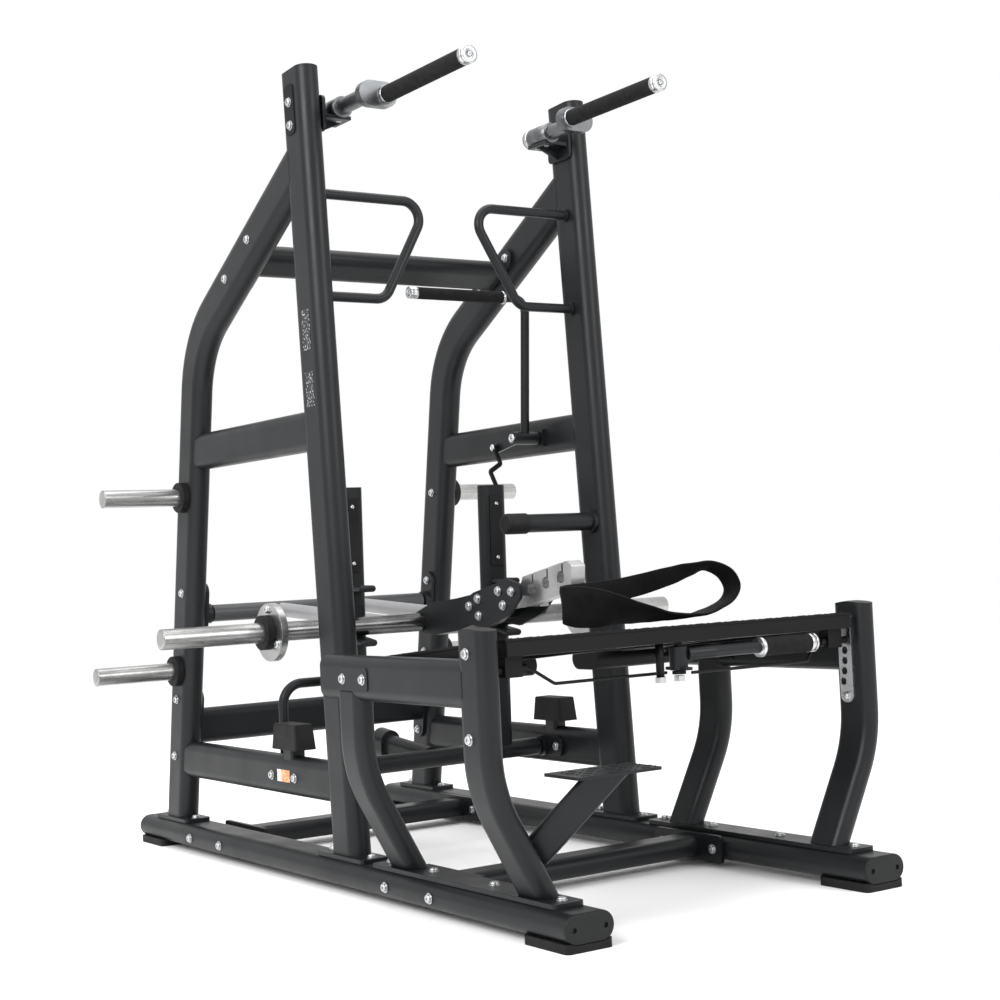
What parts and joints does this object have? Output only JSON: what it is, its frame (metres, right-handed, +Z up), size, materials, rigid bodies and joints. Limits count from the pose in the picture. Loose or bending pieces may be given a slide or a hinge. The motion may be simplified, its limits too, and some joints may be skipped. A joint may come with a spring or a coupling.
{
  "type": "belt squat machine",
  "caption": "Plate-loaded belt squat machine with a raised tilting platform, lockout frame, swivel top handles and charcoal flat-oval frame",
  "frame": {"origin": "on the floor in the middle of the base", "axes": "+Z up, +Y to the rear, X across the machine"},
  "size_m": [1.546, 2.09, 1.9949],
  "materials": {
    "frame_paint": "satin charcoal powder coat with a fine texture",
    "silver_paint": "silver grey powder coat",
    "horn_chrome": "brushed chrome sleeves",
    "zinc": "bright zinc plate",
    "rubber": "matte black rubber",
    "plastic": "moulded dark plastic",
    "cast": "painted casting",
    "foam": "matte foam sleeve",
    "belt_fabric": "black webbing over neoprene"
  },
  "bodies": {
    "frame": {"accessory_peg": "frame_paint", "base_cross_front": "frame_paint", "base_cross_rear": "frame_paint", "base_rail_left": "frame_paint", "base_rail_right": "frame_paint", "bump_stops": "rubber", "d_handles": "frame_paint", "flange_bearings": "frame_paint", "foot_pads": "rubber", "frame_bolts": "zinc", "front_upright_left": "frame_paint", "front_upright_right": "frame_paint", "handle_brackets": "frame_paint", "hinge_pins": "zinc", "horn_collars": "rubber", "leg_base_plates": "frame_paint", "leg_fronts": "frame_paint", "leg_rears": "frame_paint", "lower_rear_crossbar": "frame_paint", "lower_side_tube_left": "frame_paint", "lower_side_tube_right": "frame_paint", "mid_side_tube_left": "frame_paint", "mid_side_tube_right": "frame_paint", "platform_cross_stubs": "frame_paint", "platform_rails": "frame_paint", "rear_upright_left": "frame_paint", "rear_upright_right": "frame_paint", "rest_bar": "frame_paint", "selector_plates": "zinc", "step": "frame_paint", "storage_horns": "horn_chrome", "tube_end_caps": "plastic", "upper_crossbar": "frame_paint"},
    "lever": {"lever_axle": "silver_paint", "lever_arms": "silver_paint", "lever_cross_tube": "silver_paint", "weight_horns": "horn_chrome", "lever_collars": "rubber", "belt_arm": "silver_paint", "belt_arm_plates": "frame_paint", "belt_rack": "cast", "lever_bolts": "zinc"},
    "belt": {"belt": "belt_fabric"},
    "lockout": {"lockout_shaft": "frame_paint", "lockout_post_left": "frame_paint", "lockout_post_right": "frame_paint", "lockout_pads": "rubber"},
    "release": {"release_lever": "frame_paint", "release_grip": "foam"},
    "link": {"release_link": "zinc"},
    "swing_left": {"swing_handle_left": "silver_paint", "swing_grip_left": "foam"},
    "swing_right": {"swing_handle_right": "silver_paint", "swing_grip_right": "foam"},
    "platform": {"platform_frame": "frame_paint", "platform_deck": "frame_paint"},
    "platform_handle": {"platform_handle": "frame_paint", "platform_grip": "foam"},
    "pin_left": {"lock_pin_left": "zinc"},
    "pin_right": {"lock_pin_right": "zinc"}
  },
  "joints": [
    {"name": "lever_hinge", "type": "hinge", "parent": "frame", "child": "lever", "pos_m": [0, 0.757, 0.655], "axis": [-1, 0, 0], "range_deg": [0, 5.2]},
    {"name": "belt_swing", "type": "hinge", "parent": "lever", "child": "belt", "pos_m": [0, -0.486, 0.716], "axis": [-1, 0, 0], "range_deg": [0, 20]},
    {"name": "release_pull", "type": "hinge", "parent": "frame", "child": "release", "pos_m": [0.33, 0.14, 1.098], "axis": [1, 0, 0], "range_deg": [0, 12]},
    {"name": "lockout_hinge", "type": "hinge", "parent": "frame", "child": "lockout", "pos_m": [0, 0.183, 0.248], "axis": [-1, 0, 0], "range_deg": [0, 6]},
    {"name": "link_pivot", "type": "hinge", "parent": "release", "child": "link", "pos_m": [0.295, 0.235, 1.08], "axis": [1, 0, 0], "range_deg": [0, 21.48]},
    {"name": "swing_left_turn", "type": "hinge", "parent": "frame", "child": "swing_left", "pos_m": [-0.318, -0.06, 1.9], "axis": [0, 1, 0], "range_deg": [-90, 90]},
    {"name": "swing_right_turn", "type": "hinge", "parent": "frame", "child": "swing_right", "pos_m": [0.318, -0.06, 1.9], "axis": [0, 1, 0], "range_deg": [-90, 90]},
    {"name": "platform_tilt", "type": "hinge", "parent": "frame", "child": "platform", "pos_m": [0, -0.478, 0.528], "axis": [1, 0, 0], "range_deg": [0, 14]},
    {"name": "platform_handle_pull", "type": "hinge", "parent": "platform", "child": "platform_handle", "pos_m": [-0.02, -0.888, 0.536], "axis": [0, 0, -1], "range_deg": [0, 22]},
    {"name": "pin_left_slide", "type": "slide", "parent": "platform", "child": "pin_left", "axis": [1, 0, 0], "range_m": [0, 0.011]},
    {"name": "pin_right_slide", "type": "slide", "parent": "platform", "child": "pin_right", "axis": [-1, 0, 0], "range_m": [0, 0.011]}
  ],
  "couplings": [
    {"joint": "lockout_hinge", "follows": "release_pull", "ratio": 0.5},
    {"joint": "link_pivot", "follows": "release_pull", "ratio": 1.789},
    {"joint": "pin_left_slide", "follows": "platform_handle_pull", "m_per_rad": 0.028},
    {"joint": "pin_right_slide", "follows": "platform_handle_pull", "m_per_rad": 0.028}
  ]
}
